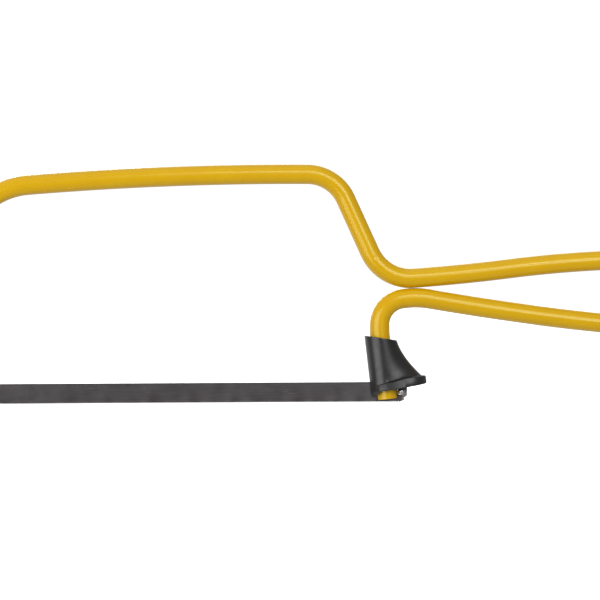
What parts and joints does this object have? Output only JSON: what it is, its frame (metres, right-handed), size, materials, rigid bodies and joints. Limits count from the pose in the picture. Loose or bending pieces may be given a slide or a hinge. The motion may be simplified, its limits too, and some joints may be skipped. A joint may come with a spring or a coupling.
{
  "type": "junior hacksaw",
  "caption": "Small hand saw with a one-piece bent rod frame and loop handle, a pin-end fine-tooth blade and a moulded blade guard on the rear arm.",
  "frame": {"origin": "middle of the saw's overall length and thickness, level with the tips of the teeth", "axes": "+X along the blade from the front end towards the handle, +Z from the teeth up to the top bar, +Y out of the plane of the frame"},
  "size_m": [0.25, 0.0122, 0.0736],
  "materials": {
    "frame_coat": "glossy powder coat",
    "blade_steel": "blackened, worn at the ends",
    "pin_steel": "bright",
    "guard_plastic": "satin moulded"
  },
  "bodies": {
    "frame_rear": {"frame_rod_rear": "frame_coat"},
    "frame_front": {"frame_rod_front": "frame_coat"},
    "blade": {"blade": "blade_steel", "front_pin": "pin_steel", "rear_pin": "pin_steel"},
    "guard": {"blade_guard": "guard_plastic"}
  },
  "joints": [
    {"name": "frame_spring", "type": "hinge", "parent": "frame_rear", "child": "frame_front", "pos_m": [-0.05, 0, 0.06941], "axis": [0, -1, 0], "range_deg": [0, 1.9], "stiffness_Nm_per_rad": 25},
    {"name": "guard_slide", "type": "slide", "parent": "frame_rear", "child": "guard", "axis": [-0.1147, 0, 0.9934], "range_m": [0, 0.003]},
    {"name": "blade_release", "type": "slide", "parent": "frame_rear", "child": "blade", "axis": [0, 0, -1], "range_m": [0, 0.012]}
  ]
}
